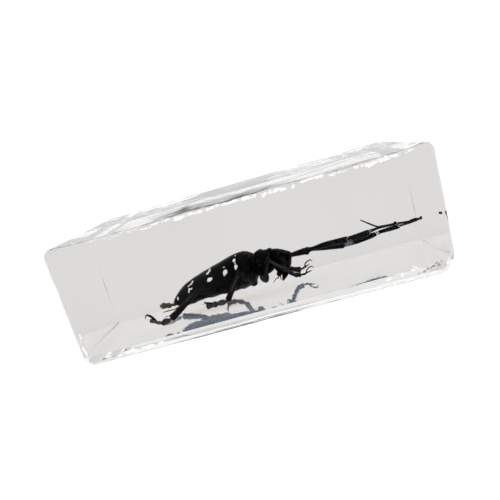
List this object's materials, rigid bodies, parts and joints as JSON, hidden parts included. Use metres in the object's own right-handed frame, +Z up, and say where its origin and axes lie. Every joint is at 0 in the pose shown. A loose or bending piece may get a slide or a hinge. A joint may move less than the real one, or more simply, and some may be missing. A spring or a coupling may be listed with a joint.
{
  "type": "insect in resin block",
  "caption": "Clear resin block with rounded edges that holds a black, white-spotted long-horned beetle; a paperweight or desk specimen.",
  "frame": {"origin": "centre of the block's flat base, on the surface that it stands on", "axes": "+X along the block towards the beetle's head and antennae, +Y away from the long side that the beetle is looked at through, +Z up, out of the beetle's back"},
  "size_m": [0.0728, 0.04, 0.024],
  "materials": {
    "clear_resin": "clear, polished, refractive index 1.5",
    "black_cuticle": "dry insect cuticle, black, satin",
    "white_spots": "matt white hair patches",
    "pale_bands": "short blue-grey hair on the antennae, legs and underside"
  },
  "bodies": {
    "root": {"resin_block": "clear_resin"}
  },
  "joints": []
}
